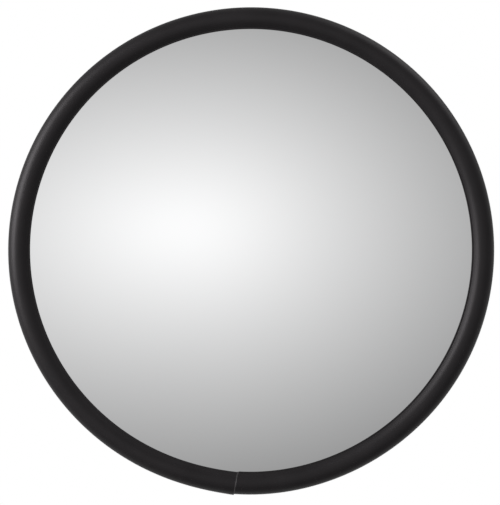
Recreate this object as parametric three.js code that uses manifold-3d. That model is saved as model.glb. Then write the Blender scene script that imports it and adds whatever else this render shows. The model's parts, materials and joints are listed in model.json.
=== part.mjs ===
// Convex security mirror on a telescoping arm with a swivelling wall bracket.
//
// Millimetres, +Z up. The origin is the centre of the wall plate's back face.
// The arm runs along -Y, and the mirror looks along -Y.

import * as THREE from "three";
import { mergeVertices } from "three/addons/utils/BufferGeometryUtils.js";
import Module from "manifold-3d";

const wasm = await Module();
wasm.setup();

// ---- Driving dimensions ---------------------------------------------------------

const MIRROR_DIAMETER = 457.2; // over the edging, a nominal 18 inches
const EDGE_RADIUS = 10.65; // the edging is a split tube of soft vinyl
const EDGE_WALL = 2.4;
const EDGE_SETBACK = 1.5; // how far the tube's centre lies behind the middle of lens and board
const SEAM_ANGLE = 3.8; // degrees from the lowest point towards -X, where the edging's ends meet
const SEAM_SLANT = 5; // degrees between the seam and a radius
const SEAM_GAP = 0.6;

const LENS_THICKNESS = 3;
const LENS_RISE = 46; // height of the dome above its flange
const BOARD_THICKNESS = 3.2;
const BOARD_OPENING = 17; // radius of the board's middle hole, which clears the ball joint
const RIM_PLAY = 0.5; // between the rim of lens and board and the inside of the edging
const LIP_PLAY = 0.3; // between the edging's front lip and the foot of the dome

const REACH = 262; // wall face to the ball's centre, with the arm closed
const STROKE = 90; // how far the arm telescopes
const OUTER_TUBE = { outer: 11, inner: 9.5, length: 150 }; // radii and length
const OUTER_TUBE_FRONT = 62; // the ball's centre to the tube's front end
const INNER_TUBE = { outer: 8, inner: 6.5, lip: 1 };
const GUIDE_BUSH = { length: 20, flange: 1.5 };
const TAIL_LENGTH = 14; // of the tail bush

const HINGE_REACH = 36; // wall face to the axis the arm folds about
const WALL_PLATE = { width: 76, height: 110, thickness: 3, corner: 12 };
const WALL_HOLE = { radius: 3.25, x: 26, z: 43 };
const CLEVIS = { sheet: 3, gap: 12, half: 17, bend: 2 }; // gap is to the inside of an ear
const KNUCKLE = { radius: 13, half: 9.8, spigot: 20 };
const PIN = { outer: 1.95, inner: 1.1, slot: 0.8, hole: 2.25, inset: 10 }; // inset from the tube's end

const BALL_RADIUS = 13;
const NECK_RADIUS = 4.75;
const SHELL = 2; // thickness of the pressed socket plates
const SOCKET_SIDE = 84;
const SOCKET_CORNER = 12;
const SOCKET_BOLT = 30; // each plate screw's distance from both centre lines

const M5 = { shank: 2.45, hole: 2.8, head: 5.2, flats: 8, nut: 4 };
const M6 = { shank: 2.9, hole: 3.25 };
const M8 = { shank: 3.9, hole: 4.3, washer: 8.5, sheet: 1.6 };
const M10 = { shank: 4.8, hole: 5.1, washer: 10, sheet: 1.6, flats: 17 };
const THREAD_CHAMFER = 1;
const THREAD_PROUD = 1.4; // how far a thread stands out of its nut

const TOUCH = 0.05; // gap between flat faces that rest on each other
const FIT = 0.2; // gap between round surfaces that don't move
const RUN = 0.25; // gap between round surfaces that slide or turn
const BALL_RUN = 0.35; // the same for the ball, whose facets turn every way
const PAST = 1; // how far a cutting shape runs beyond what it cuts

const RIM_SEGMENTS = 64;
const WIDE_SEGMENTS = 32;
const ROUND_SEGMENTS = 24;
const SMALL_SEGMENTS = 16;
const WELD = 1e-4;
const DEGREE = Math.PI / 180;

// ---- Sizes that follow ----------------------------------------------------------

const EDGE_CENTRE = MIRROR_DIAMETER / 2 - EDGE_RADIUS; // radius of the tube's centre line
const STACK = LENS_THICKNESS + BOARD_THICKNESS + TOUCH;
const FRONT_LIP = STACK / 2 + EDGE_SETBACK + 2 * TOUCH; // edging's mouth, in front of its centre
const REAR_LIP = STACK / 2 - EDGE_SETBACK + 2 * TOUCH; // and behind it
const EDGE_BORE = EDGE_RADIUS - EDGE_WALL;
const DISC_RADIUS = EDGE_CENTRE + Math.sqrt(EDGE_BORE ** 2 - FRONT_LIP ** 2) - RIM_PLAY;
const DOME_RADIUS = EDGE_CENTRE - Math.sqrt(EDGE_RADIUS ** 2 - FRONT_LIP ** 2) - LIP_PLAY;

// Along Y from the ball's centre, +Y towards the wall.
const LINER_WALL = 1.5;
const LINER_BORE = BALL_RADIUS + BALL_RUN;
const LINER_RADIUS = LINER_BORE + LINER_WALL;
const SOCKET_BORE = LINER_RADIUS + BALL_RUN;
const SOCKET_RADIUS = SOCKET_BORE + SHELL;
const SOCKET_BACK = -6; // back face of the socket plate's flat
const BOARD_BACK = SOCKET_BACK - SHELL - TOUCH;
const BOARD_FRONT = BOARD_BACK - BOARD_THICKNESS;
const BACKING_BACK = BOARD_FRONT - TOUCH;
const BACKING_FRONT = BACKING_BACK - SHELL;
const FLANGE_BACK = BOARD_FRONT - TOUCH;
const FLANGE_FRONT = FLANGE_BACK - LENS_THICKNESS;
const EDGE_PLANE = (BOARD_BACK + FLANGE_FRONT) / 2 + EDGE_SETBACK;

const after = (piece, thickness) => ({ from: piece.to + TOUCH, to: piece.to + TOUCH + thickness });
const STUD_FLANGE = { from: 17, to: 21 }; // hexagon between the ball's neck and its thread
const JAM_NUT = { from: 22.5, to: 28.5 };
const LOCK_WASHER = after(JAM_NUT, 2.15);
const INSERT_FLANGE = after(LOCK_WASHER, 1.55);
const INSERT_END = INSERT_FLANGE.to + 22.5;
const STUD_END = INSERT_END - 1; // the stud's thread stops just inside the insert
const INNER_TUBE_FRONT = INSERT_FLANGE.to + TOUCH;
const OUTER_TUBE_BACK = OUTER_TUBE_FRONT + OUTER_TUBE.length;
const GUIDE_BACK = OUTER_TUBE_FRONT + GUIDE_BUSH.length;
const BEAD_STOP = 2 * INNER_TUBE.lip + 2 * FIT; // keeps the bead off the guide bush at full reach
const TAIL_BUSH = { from: GUIDE_BACK + STROKE + BEAD_STOP, length: TAIL_LENGTH };
const COLLAR = { from: OUTER_TUBE_FRONT + 1, length: 26, radius: 14.5, boss: 8, drop: 25 };
const CLAMP_Y = COLLAR.from + 11; // clamp screw's axis

// Along Y from the wall face, and along X from the middle of the hinge.
const PLATE_FRONT = -WALL_PLATE.thickness;
const FRICTION_WASHER = { from: PLATE_FRONT - TOUCH, thickness: 1.8, radius: 15 };
const CLEVIS_BACK = FRICTION_WASHER.from - FRICTION_WASHER.thickness - TOUCH;
const EAR_OUTSIDE = CLEVIS.gap + CLEVIS.sheet;
const CLEVIS_FRONT = CLEVIS_BACK - CLEVIS.sheet;
const PIVOT_WASHER = { from: CLEVIS_FRONT - TOUCH, thickness: M10.sheet };
const PIVOT_NUT = { from: PIVOT_WASHER.from - PIVOT_WASHER.thickness - TOUCH, height: 9.5 };
const KNUCKLE_WASHER = { from: KNUCKLE.half + 2 * TOUCH, to: CLEVIS.gap - 2 * TOUCH };
const HINGE_WASHER = { from: EAR_OUTSIDE + TOUCH, thickness: M8.sheet };
const WING_NUT_SEAT = HINGE_WASHER.from + HINGE_WASHER.thickness + TOUCH;

// ---- Geometry helpers -----------------------------------------------------------

function toSolid(geometry) {
  const loose = geometry.index ? geometry.toNonIndexed() : geometry;
  const bare = new THREE.BufferGeometry();
  bare.setAttribute("position", loose.getAttribute("position"));
  const merged = mergeVertices(bare, WELD);
  const corners = merged.index.array;
  const kept = [];
  for (let i = 0; i < corners.length; i += 3) {
    const [a, b, c] = corners.slice(i, i + 3);
    if (a !== b && b !== c && c !== a) kept.push(a, b, c);
  }
  return new wasm.Manifold(
    new wasm.Mesh({
      numProp: 3,
      vertProperties: merged.getAttribute("position").array,
      triVerts: new Uint32Array(kept),
    }),
  );
}

function toGeometry(solid) {
  const mesh = solid.getMesh();
  const geometry = new THREE.BufferGeometry();
  geometry.setAttribute("position", new THREE.BufferAttribute(mesh.vertProperties, 3));
  geometry.setIndex(new THREE.BufferAttribute(mesh.triVerts, 1));
  return geometry;
}

function join(first, ...others) {
  return toGeometry(others.reduce((made, g) => made.add(toSolid(g)), toSolid(first)));
}

function cut(body, ...tools) {
  return toGeometry(tools.reduce((made, g) => made.subtract(toSolid(g)), toSolid(body)));
}

function common(a, b) {
  return toGeometry(toSolid(a).intersect(toSolid(b)));
}

// A profile of [radius, y] points turned about Y. It starts and ends on the axis, or closes.
function turned(profile, segments = ROUND_SEGMENTS) {
  const lathe = (points) =>
    new THREE.LatheGeometry(points.map(([r, y]) => new THREE.Vector2(r, y)), segments);
  const made = lathe(profile);
  const inwards = toSolid(made).volume() < 0;
  return toGeometry(toSolid(inwards ? lathe([...profile].reverse()) : made));
}

// [radius, y] points along an arc in a lathe profile. Angles are in degrees from +radius to +Y.
function arc(centreRadius, centreY, radius, from, to, steps) {
  return Array.from({ length: steps + 1 }, (_, i) => {
    const angle = (from + ((to - from) * i) / steps) * DEGREE;
    return [centreRadius + radius * Math.cos(angle), centreY + radius * Math.sin(angle)];
  });
}

function rod(radius, from, to, segments = ROUND_SEGMENTS) {
  const made = new THREE.CylinderGeometry(radius, radius, to - from, segments);
  return made.translate(0, (from + to) / 2, 0);
}

function ring(outer, inner, from, to, segments = ROUND_SEGMENTS) {
  const profile = [[inner, from], [outer, from], [outer, to], [inner, to], [inner, from]];
  return turned(profile, segments);
}

const alongX = (geometry) => geometry.rotateZ(-Math.PI / 2); // +Y becomes +X
const alongZ = (geometry) => geometry.rotateX(Math.PI / 2); // +Y becomes +Z

// A low domed head's profile, from its top on the axis to its edge. It rises from seat along way.
function dome(radius, height, rim, seat, way) {
  const steps = 4;
  return Array.from({ length: steps + 1 }, (_, i) => {
    const angle = ((i / steps) * Math.PI) / 2;
    return [radius * Math.sin(angle), seat + way * (rim + (height - rim) * Math.cos(angle))];
  });
}

// A shape drawn in X and Z, standing from y = from to y = to.
function slab(shape, from, to, curveSegments = 6) {
  const made = new THREE.ExtrudeGeometry(shape, {
    depth: to - from,
    bevelEnabled: false,
    curveSegments,
  });
  return made.rotateX(Math.PI / 2).translate(0, to, 0);
}

function roundedRectangle(width, height, corner) {
  const x = width / 2;
  const z = height / 2;
  const shape = new THREE.Shape();
  shape.absarc(x - corner, z - corner, corner, 0, Math.PI / 2);
  shape.absarc(corner - x, z - corner, corner, Math.PI / 2, Math.PI);
  shape.absarc(corner - x, corner - z, corner, Math.PI, 1.5 * Math.PI);
  shape.absarc(x - corner, corner - z, corner, 1.5 * Math.PI, 2 * Math.PI);
  return shape;
}

function hexagon(flats) {
  const corner = flats / 2 / Math.cos(30 * DEGREE);
  const shape = new THREE.Shape();
  for (let i = 0; i < 6; i += 1) {
    const angle = (i * 60 + 30) * DEGREE;
    shape[i ? "lineTo" : "moveTo"](corner * Math.cos(angle), corner * Math.sin(angle));
  }
  return shape.closePath();
}

// The four places of a rectangular pattern.
const corners = (x, z) => [[x, z], [-x, z], [-x, -z], [x, -z]];

// ---- Materials ------------------------------------------------------------------

function material(color, roughness, metalness) {
  return new THREE.MeshStandardMaterial({ color, roughness, metalness });
}

const MIRRORED = material(0xdfe1e3, 0.04, 1);
const VINYL = material(0x252324, 0.45, 0);
const HARDBOARD = material(0x6b4a31, 0.75, 0);
const BLACK_STEEL = material(0x1d1d1f, 0.5, 0.3);
const ZINC = material(0xb9bbb8, 0.35, 1);
const CHROME = material(0xd4d6d8, 0.12, 1);
const NYLON = material(0xe4e0d2, 0.6, 0);
const FIBRE = material(0x7c3327, 0.8, 0);
const BRASS = material(0xb58d42, 0.3, 1);
const BLACK_PLASTIC = material(0x1b1b1c, 0.55, 0);

// ---- Wall bracket ---------------------------------------------------------------

function wallPlate() {
  const outline = roundedRectangle(WALL_PLATE.width, WALL_PLATE.height, WALL_PLATE.corner);
  for (const [x, z] of corners(WALL_HOLE.x, WALL_HOLE.z)) {
    const hole = new THREE.Path().absarc(x, z, WALL_HOLE.radius, 0, 2 * Math.PI, true);
    outline.holes.push(hole);
  }
  return slab(outline, PLATE_FRONT, 0);
}

function pivotStud() {
  const tip = PIVOT_NUT.from - PIVOT_NUT.height - THREAD_PROUD;
  const root = PLATE_FRONT - TOUCH;
  const { shank } = M10;
  return turned([
    [0, tip],
    [shank - THREAD_CHAMFER, tip],
    [shank, tip + THREAD_CHAMFER],
    [shank, root],
    [0, root],
  ]);
}

function pivotFrictionWasher() {
  const { from, thickness, radius } = FRICTION_WASHER;
  return ring(radius, M10.hole + RUN, from - thickness, from);
}

function pivotFlatWasher() {
  const { from, thickness } = PIVOT_WASHER;
  return ring(M10.washer, M10.hole + RUN, from - thickness, from);
}

// A hexagon nut with a turned collar that holds its locking ring.
function pivotLockNut() {
  const collar = { radius: 7.8, height: 2.5, chamfer: 0.8 };
  const tip = PIVOT_NUT.from - PIVOT_NUT.height;
  const shoulder = tip + collar.height;
  const top = turned([
    [0, tip],
    [collar.radius - collar.chamfer, tip],
    [collar.radius, tip + collar.chamfer],
    [collar.radius, shoulder + 1],
    [0, shoulder + 1],
  ]);
  const body = join(slab(hexagon(M10.flats), shoulder, PIVOT_NUT.from), top);
  return cut(body, rod(M10.hole, tip - PAST, PIVOT_NUT.from + PAST));
}

// The strip's edge view, in X and Y from the base's back face: a base and two ears.
function clevisSection(tip) {
  const { sheet, gap, bend } = CLEVIS;
  const outer = bend + sheet; // outside radius of a bend
  const middle = gap - bend; // X of a bend's centre
  const shape = new THREE.Shape();
  shape.moveTo(gap, tip);
  shape.lineTo(EAR_OUTSIDE, tip);
  shape.absarc(middle, -outer, outer, 0, Math.PI / 2);
  shape.absarc(-middle, -outer, outer, Math.PI / 2, Math.PI);
  shape.lineTo(-EAR_OUTSIDE, tip);
  shape.lineTo(-gap, tip);
  shape.absarc(-middle, -outer, bend, Math.PI, Math.PI / 2, true);
  shape.absarc(middle, -outer, bend, Math.PI / 2, 0, true);
  return shape;
}

// The side view, in Y and Z: straight from the base, with a round end about the hinge.
function clevisSide(ear) {
  const shape = new THREE.Shape();
  shape.moveTo(PAST, -CLEVIS.half);
  shape.lineTo(PAST, CLEVIS.half);
  shape.absarc(-ear, 0, CLEVIS.half, Math.PI / 2, 1.5 * Math.PI);
  return shape;
}

function swivelClevis() {
  const ear = HINGE_REACH + CLEVIS_BACK; // base to hinge axis
  const width = 2 * (EAR_OUTSIDE + PAST);
  const channel = new THREE.ExtrudeGeometry(clevisSection(-ear - CLEVIS.half - PAST), {
    depth: 2 * CLEVIS.half,
    bevelEnabled: false,
    curveSegments: 3,
  }).translate(0, CLEVIS_BACK, -CLEVIS.half);
  const profile = new THREE.ExtrudeGeometry(clevisSide(ear), {
    depth: width,
    bevelEnabled: false,
    curveSegments: 10,
  });
  profile.rotateY(Math.PI / 2).rotateX(Math.PI / 2); // drawn x becomes Y, drawn y becomes Z
  profile.translate(-width / 2, CLEVIS_BACK, 0);

  const neck = 2 * (M8.shank + RUN);
  const square = new THREE.BoxGeometry(CLEVIS.sheet + 2 * PAST, neck, neck);
  return cut(
    common(channel, profile),
    rod(M10.hole + RUN, CLEVIS_FRONT - PAST, CLEVIS_BACK + PAST),
    alongX(rod(M8.hole, 0, EAR_OUTSIDE + PAST)).translate(0, -HINGE_REACH, 0),
    square.translate(-EAR_OUTSIDE + CLEVIS.sheet / 2, -HINGE_REACH, 0),
  );
}

// ---- Hinge hardware, about the hinge axis ---------------------------------------

// A carriage bolt: a domed head, and a square neck that sits in one ear.
function hingeBolt() {
  const head = { radius: 8.7, height: 4.4, rim: 0.9 };
  const threadLength = 15; // beyond the wing nut's seat
  const seat = -EAR_OUTSIDE - TOUCH;
  const tip = WING_NUT_SEAT + threadLength;
  const body = turned([
    ...dome(head.radius, head.height, head.rim, seat, -1),
    [head.radius, seat],
    [M8.shank, seat],
    [M8.shank, tip - THREAD_CHAMFER],
    [M8.shank - THREAD_CHAMFER, tip],
    [0, tip],
  ]);
  const neck = new THREE.BoxGeometry(CLEVIS.sheet, 2 * M8.shank, 2 * M8.shank);
  return join(alongX(body), neck.translate(seat + (CLEVIS.sheet - TOUCH) / 2, 0, 0));
}

function hingeWasher() {
  const { from, thickness } = HINGE_WASHER;
  return alongX(ring(M8.washer, M8.hole, from, from + thickness));
}

// A tapered hub with two wings, which are drawn in X and Z from the nut's seat.
function wingNut() {
  const hub = { foot: 8, footHeight: 1.5, tip: 6.4, length: 10 };
  const wing = { thickness: 3, root: 4.5, lobe: 4.9, lobeX: 11.5, lobeZ: 15.5 };
  const seat = WING_NUT_SEAT;
  const body = turned([
    [0, seat],
    [hub.foot, seat],
    [hub.foot, seat + hub.footHeight],
    [hub.tip, seat + hub.length],
    [0, seat + hub.length],
  ]);

  const outline = new THREE.Shape();
  outline.moveTo(seat + PAST, wing.root);
  outline.lineTo(seat + wing.lobeX - wing.lobe, wing.lobeZ + 2);
  outline.absarc(seat + wing.lobeX, wing.lobeZ, wing.lobe, 156 * DEGREE, -35 * DEGREE, true);
  outline.lineTo(seat + hub.length - 0.5, wing.root);
  const upper = new THREE.ExtrudeGeometry(outline, {
    depth: wing.thickness,
    bevelEnabled: false,
    curveSegments: 8,
  });
  upper.rotateX(Math.PI / 2).translate(0, wing.thickness / 2, 0);
  const lower = upper.clone().rotateX(Math.PI);
  const bore = rod(M8.hole, seat - PAST, seat + 2 * hub.length);
  return cut(join(alongX(body), upper, lower), alongX(bore));
}

function knuckleWasher() {
  return alongX(ring(KNUCKLE.radius, M8.hole, KNUCKLE_WASHER.from, KNUCKLE_WASHER.to));
}

// ---- Outer half of the arm, measured from the ball's centre ----------------------

const HINGE_Y = REACH - HINGE_REACH;
const PIN_Y = OUTER_TUBE_BACK - PIN.inset;

// An eye between the clevis ears, with milled flats, and a spigot into the tube.
function armKnuckle() {
  const width = 2 * KNUCKLE.half;
  const shoulder = OUTER_TUBE_BACK + TOUCH;
  const inEye = HINGE_Y - KNUCKLE.radius / 3; // where the neck ends, well inside the eye
  const eye = alongX(rod(KNUCKLE.radius, -KNUCKLE.half, KNUCKLE.half, WIDE_SEGMENTS));
  const flats = new THREE.BoxGeometry(width, width, 2 * (OUTER_TUBE.outer + PAST));
  const neck = common(
    rod(OUTER_TUBE.outer, shoulder, inEye),
    flats.translate(0, shoulder + width / 2 - PAST, 0),
  );
  const spigot = rod(OUTER_TUBE.inner - RUN, OUTER_TUBE_BACK - KNUCKLE.spigot, shoulder + PAST);
  const bolt = alongX(rod(M8.hole, -KNUCKLE.half - PAST, KNUCKLE.half + PAST));
  return cut(
    join(eye.translate(0, HINGE_Y, 0), neck, spigot),
    bolt.translate(0, HINGE_Y, 0),
    knucklePinHole(),
  );
}

function knucklePinHole() {
  const reach = OUTER_TUBE.outer + PAST;
  return alongX(rod(PIN.hole, -reach, reach, SMALL_SEGMENTS)).translate(0, PIN_Y, 0);
}

// A slotted spring pin through tube and spigot.
function knucklePin() {
  const half = OUTER_TUBE.outer - 2 * FIT;
  const body = alongX(ring(PIN.outer, PIN.inner, -half, half, SMALL_SEGMENTS));
  const slot = new THREE.BoxGeometry(2 * (half + PAST), PIN.slot, PIN.outer);
  return cut(body, slot.translate(0, 0, PIN.outer)).translate(0, PIN_Y, 0);
}

// Clears the pressure pad and clamp screw from the arm's axis downwards.
function clampHole(radius) {
  return alongZ(rod(radius, -COLLAR.drop - PAST, PAST - INNER_TUBE.outer)).translate(0, CLAMP_Y, 0);
}

function outerTube() {
  const tube = ring(OUTER_TUBE.outer, OUTER_TUBE.inner, OUTER_TUBE_FRONT, OUTER_TUBE_BACK);
  return cut(tube, clampHole(M6.hole), knucklePinHole());
}

function guideBush() {
  const bore = INNER_TUBE.outer + RUN;
  const sleeve = OUTER_TUBE.inner - FIT;
  const flange = OUTER_TUBE_FRONT - TOUCH;
  const front = flange - GUIDE_BUSH.flange;
  const profile = [
    [bore, front],
    [OUTER_TUBE.outer, front],
    [OUTER_TUBE.outer, flange],
    [sleeve, flange],
    [sleeve, GUIDE_BACK],
    [bore, GUIDE_BACK],
    [bore, front],
  ];
  return cut(turned(profile), clampHole(M6.hole));
}

function clampCollar() {
  const { from, length, radius, boss, drop } = COLLAR;
  const sleeve = rod(radius, from, from + length, WIDE_SEGMENTS);
  const bossBody = alongZ(rod(boss, -drop, 0)).translate(0, CLAMP_Y, 0);
  const bore = rod(OUTER_TUBE.outer + RUN, from - PAST, from + length + PAST);
  return cut(join(sleeve, bossBody), bore, clampHole(M6.hole));
}

// ---- Telescope lock, about the clamp screw's axis --------------------------------

const PAD_TOP = -INNER_TUBE.outer - 2 * TOUCH;
const PAD_THICKNESS = 2.5;
const KNOB = { boss: 7, bossHeight: 4, radius: 13, ripple: 1.6, lobes: 6, height: 10 };
const KNOB_TOP = -COLLAR.drop - 2;
const KNOB_GRIP = 9; // length of screw moulded into the knob

function pressurePad() {
  return alongZ(rod(M6.shank, PAD_TOP - PAD_THICKNESS, PAD_TOP, SMALL_SEGMENTS));
}

function clampKnobScrew() {
  const tip = PAD_TOP - PAD_THICKNESS - TOUCH;
  return alongZ(rod(M6.shank, KNOB_TOP - KNOB_GRIP, tip, SMALL_SEGMENTS));
}

// A lobed head under a short boss, moulded round the screw.
function clampKnobHead() {
  const { boss, bossHeight, radius, ripple, lobes, height } = KNOB;
  const count = 8 * lobes;
  const outline = Array.from({ length: count }, (_, i) => {
    const angle = (i / count) * 2 * Math.PI;
    const reach = radius + ripple * Math.cos(lobes * angle);
    return new THREE.Vector2(reach * Math.cos(angle), reach * Math.sin(angle));
  });
  const head = new THREE.ExtrudeGeometry(new THREE.Shape(outline), {
    depth: height,
    bevelEnabled: false,
  });
  head.translate(0, 0, KNOB_TOP - bossHeight - height);
  const neck = alongZ(rod(boss, KNOB_TOP - bossHeight - PAST, KNOB_TOP));
  const bottom = KNOB_TOP - KNOB_GRIP - 2 * TOUCH;
  const socket = alongZ(rod(M6.shank + 2 * TOUCH, bottom, KNOB_TOP + PAST, SMALL_SEGMENTS));
  return cut(join(head, neck), socket);
}

// ---- Sliding half of the arm, measured from the ball's centre ---------------------

// The tail bush turns freely between a rolled bead and the flared end.
function innerTube() {
  const { outer, inner, lip } = INNER_TUBE;
  const { from, length } = TAIL_BUSH;
  const bead = from - TOUCH;
  const flare = from + length + TOUCH;
  return turned([
    [inner, INNER_TUBE_FRONT],
    [outer, INNER_TUBE_FRONT],
    [outer, bead - 2 * lip],
    [outer + lip, bead - lip],
    [outer, bead],
    [outer, flare],
    [outer + lip, flare + lip],
    [inner + lip, flare + lip],
    [inner, flare],
    [inner, INNER_TUBE_FRONT],
  ]);
}

function tailBush() {
  const { from, length } = TAIL_BUSH;
  return ring(OUTER_TUBE.inner - FIT, INNER_TUBE.outer + FIT, from, from + length);
}

function studInsert() {
  const body = INNER_TUBE.inner - FIT;
  const { from, to } = INSERT_FLANGE;
  const bore = M10.hole;
  return turned([
    [bore, from],
    [INNER_TUBE.outer, from],
    [INNER_TUBE.outer, to],
    [body, to],
    [body, INSERT_END],
    [bore, INSERT_END],
    [bore, from],
  ]);
}

// ---- Ball joint, about the ball's centre ------------------------------------------

function ballStud() {
  const neckAngle = Math.asin(NECK_RADIUS / BALL_RADIUS) / DEGREE;
  const profile = [
    ...arc(0, 0, BALL_RADIUS, -90, 90 - neckAngle, 14),
    [NECK_RADIUS, STUD_FLANGE.from],
    [M10.shank, STUD_FLANGE.to],
    [M10.shank, STUD_END - THREAD_CHAMFER],
    [M10.shank - THREAD_CHAMFER, STUD_END],
    [0, STUD_END],
  ];
  profile[0][0] = 0; // the pole lies exactly on the axis
  const flange = slab(hexagon(M10.flats), STUD_FLANGE.from, STUD_FLANGE.to);
  return join(turned(profile), flange);
}

function jamNut() {
  return cut(slab(hexagon(M10.flats), JAM_NUT.from, JAM_NUT.to), rod(M10.hole, 0, STUD_END));
}

// A split spring washer, shown closed up by the nut.
function jamLockWasher() {
  const { from, to } = LOCK_WASHER;
  const outer = 8.8;
  const split = new THREE.BoxGeometry(1.2, 2 * (to - from), outer);
  split.translate(0, (from + to) / 2, M10.hole - PAST + outer / 2);
  return cut(ring(outer, M10.hole, from, to), split);
}

function socketLiner() {
  const front = -15; // the liner wraps past the ball's equator
  const back = 42; // and stops short of the neck's swing
  const outside = arc(0, 0, LINER_RADIUS, front, back, 6);
  const inside = arc(0, 0, LINER_BORE, back, front, 6);
  return turned([...outside, ...inside, outside[0]]);
}

function plateOutline() {
  const outline = roundedRectangle(SOCKET_SIDE, SOCKET_SIDE, SOCKET_CORNER);
  for (const [x, z] of corners(SOCKET_BOLT, SOCKET_BOLT)) {
    outline.holes.push(new THREE.Path().absarc(x, z, M5.hole, 0, 2 * Math.PI, true));
  }
  return outline;
}

// A flat square with a raised dome, open at the back where the neck swings.
function socketPlate() {
  const opening = 34; // degrees above the ball's equator where the dome stops
  const foot = 3; // the dome's flared foot, across and up
  const bend = 0.9;
  const front = SOCKET_BACK - SHELL;
  const flat = slab(plateOutline(), front, SOCKET_BACK);
  const inside = arc(0, 0, SOCKET_BORE, opening, 0, 5);
  const outside = arc(0, 0, SOCKET_RADIUS, 0, opening, 5);
  const wall = [
    ...inside,
    [SOCKET_BORE, front],
    [SOCKET_RADIUS + foot, front],
    [SOCKET_RADIUS + foot, SOCKET_BACK],
    [SOCKET_RADIUS + bend, SOCKET_BACK + bend],
    [SOCKET_RADIUS, SOCKET_BACK + foot],
    ...outside,
    inside[0],
  ];
  const hollow = rod(SOCKET_BORE + PAST, front - PAST, SOCKET_BACK + PAST);
  return join(cut(flat, hollow), turned(wall));
}

// The plate inside the mirror, dished to carry the front of the ball.
function backingPlate() {
  const rim = 12; // radius where the dish meets the flat
  const lean = 6; // degrees by which the dish's outside starts nearer its bottom
  const flat = slab(plateOutline(), BACKING_FRONT, BACKING_BACK);
  const edge = Math.asin(BACKING_BACK / LINER_BORE) / DEGREE; // where the bore meets the plate's back
  const inside = arc(0, 0, LINER_BORE, -90, edge, 5);
  const outside = arc(0, 0, LINER_BORE + SHELL, edge - lean, -90, 5);
  inside[0][0] = 0;
  outside.at(-1)[0] = 0;
  const dish = turned([...inside, [rim, BACKING_BACK], [rim, BACKING_FRONT], ...outside]);
  const hole = rod(rim - PAST, BACKING_FRONT - PAST, BACKING_BACK + PAST);
  return join(cut(flat, hole), dish);
}

// A truss head on the back of the socket plate, and a shank through to the nut.
function socketScrew() {
  const head = { height: 3, rim: 0.2 };
  const seat = SOCKET_BACK + TOUCH;
  const tip = BACKING_FRONT - M5.nut - THREAD_PROUD;
  return turned(
    [
      [0, tip],
      [M5.shank, tip],
      [M5.shank, seat],
      [M5.head, seat],
      ...dome(M5.head, head.height, head.rim, seat, 1).reverse(),
    ],
    SMALL_SEGMENTS,
  );
}

function socketNut() {
  const back = BACKING_FRONT - TOUCH;
  const front = back - M5.nut;
  const hole = rod(M5.hole, front - PAST, back + PAST, SMALL_SEGMENTS);
  return cut(slab(hexagon(M5.flats), front, back), hole);
}

// ---- Mirror, about its own axis ---------------------------------------------------

function backBoard() {
  const disc = turned(
    [
      [0, BOARD_FRONT],
      [DISC_RADIUS, BOARD_FRONT],
      [DISC_RADIUS, BOARD_BACK],
      [0, BOARD_BACK],
    ],
    RIM_SEGMENTS,
  );
  const hole = (radius, segments) => rod(radius, BOARD_FRONT - PAST, BOARD_BACK + PAST, segments);
  const holes = corners(SOCKET_BOLT, SOCKET_BOLT).map(([x, z]) =>
    hole(M5.hole, SMALL_SEGMENTS).translate(x, 0, z),
  );
  return cut(disc, hole(BOARD_OPENING, WIDE_SEGMENTS), ...holes);
}

// A spherical cap with a flat flange, mirrored on its back.
function mirrorLens() {
  const curve = (DOME_RADIUS ** 2 + LENS_RISE ** 2) / (2 * LENS_RISE);
  const centre = FLANGE_FRONT - LENS_RISE + curve;
  const edge = Math.asin(DOME_RADIUS / curve) / DEGREE;
  const insideRadius = curve - LENS_THICKNESS;
  const insideEdge = Math.acos((centre - FLANGE_BACK) / insideRadius) / DEGREE;
  const outside = arc(0, centre, curve, -90, edge - 90, 9);
  const inside = arc(0, centre, insideRadius, insideEdge - 90, -90, 6);
  outside[0][0] = 0;
  inside.at(-1)[0] = 0;
  const flange = [[DISC_RADIUS, FLANGE_FRONT], [DISC_RADIUS, FLANGE_BACK]];
  return turned([...outside, ...flange, ...inside], RIM_SEGMENTS);
}

function seamBlade(gap) {
  const blade = new THREE.BoxGeometry(gap, 4 * EDGE_RADIUS, 4 * EDGE_RADIUS);
  blade.rotateY(SEAM_SLANT * DEGREE);
  blade.translate(0, EDGE_PLANE, -EDGE_CENTRE);
  return blade.rotateY(SEAM_ANGLE * DEGREE);
}

// A split tube whose mouth grips the lens flange and the board.
function edgeTrim() {
  const mouth = (radius, lip) => 180 - Math.asin(lip / radius) / DEGREE;
  const outside = arc(
    EDGE_CENTRE,
    EDGE_PLANE,
    EDGE_RADIUS,
    -mouth(EDGE_RADIUS, FRONT_LIP),
    mouth(EDGE_RADIUS, REAR_LIP),
    12,
  );
  const inside = arc(
    EDGE_CENTRE,
    EDGE_PLANE,
    EDGE_BORE,
    mouth(EDGE_BORE, REAR_LIP),
    -mouth(EDGE_BORE, FRONT_LIP),
    9,
  );
  return cut(turned([...outside, ...inside, outside[0]], RIM_SEGMENTS), seamBlade(SEAM_GAP));
}

// ---- Assembly ---------------------------------------------------------------------

function add(group, name, geometry, finish) {
  const mesh = new THREE.Mesh(geometry, finish);
  mesh.name = name;
  group.add(mesh);
  return mesh;
}

function groupAt(parent, x, y, z) {
  const group = new THREE.Group();
  group.position.set(x, y, z);
  parent.add(group);
  return group;
}

const mirror = new THREE.Group();

const bracket = groupAt(mirror, 0, 0, 0);
add(bracket, "wall_plate", wallPlate(), BLACK_STEEL);
add(bracket, "pivot_stud", pivotStud(), ZINC);
add(bracket, "pivot_friction_washer", pivotFrictionWasher(), FIBRE);
add(bracket, "swivel_clevis", swivelClevis(), BLACK_STEEL);
add(bracket, "pivot_flat_washer", pivotFlatWasher(), ZINC);
add(bracket, "pivot_lock_nut", pivotLockNut(), ZINC);

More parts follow.
